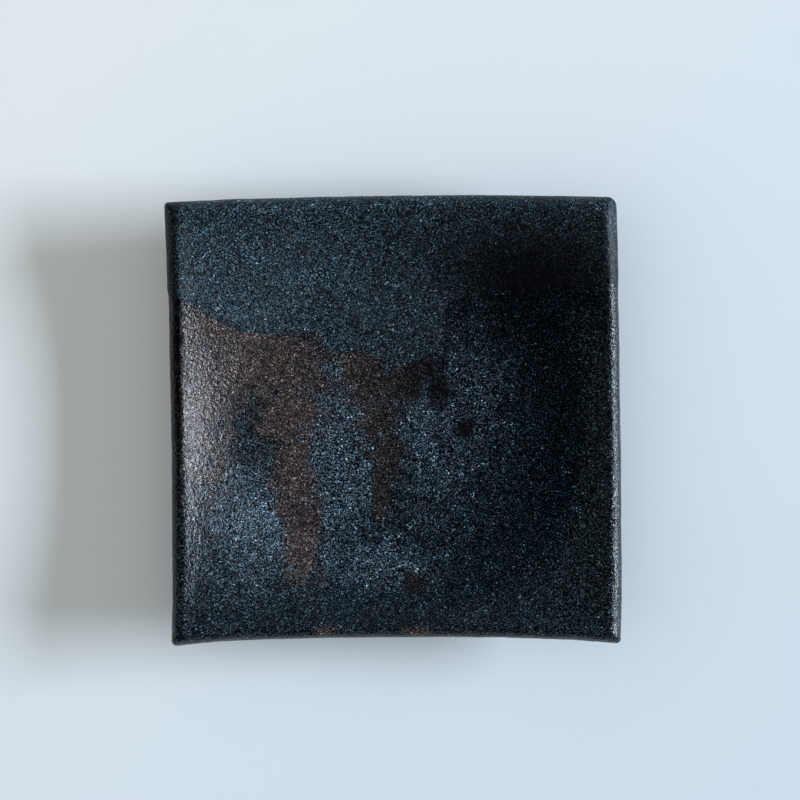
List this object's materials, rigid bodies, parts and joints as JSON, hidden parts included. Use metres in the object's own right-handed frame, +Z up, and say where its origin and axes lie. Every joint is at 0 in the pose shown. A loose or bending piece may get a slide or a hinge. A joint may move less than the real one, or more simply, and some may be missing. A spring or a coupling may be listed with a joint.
{
  "type": "square plate",
  "caption": "Hand-built square stoneware plate with upturned edges, lifted corners and low feet under a dark base glaze and a poured second glaze, for serving food.",
  "frame": {"origin": "under the middle of the plate's outline, on the surface that its feet stand on", "axes": "+Z up out of the plate's face, +Y towards the back edge that the second glaze covers, +X to the right"},
  "size_m": [0.1824, 0.1798, 0.0305],
  "materials": {
    "bare_stoneware": "matte",
    "base_glaze": "satin",
    "poured_glaze": "satin"
  },
  "bodies": {
    "root": {"clay_slab": "bare_stoneware", "foot_front_left": "bare_stoneware", "foot_front_right": "bare_stoneware", "foot_back_right": "bare_stoneware", "foot_back_left": "bare_stoneware", "base_glaze": "base_glaze", "poured_glaze": "poured_glaze"}
  },
  "joints": []
}
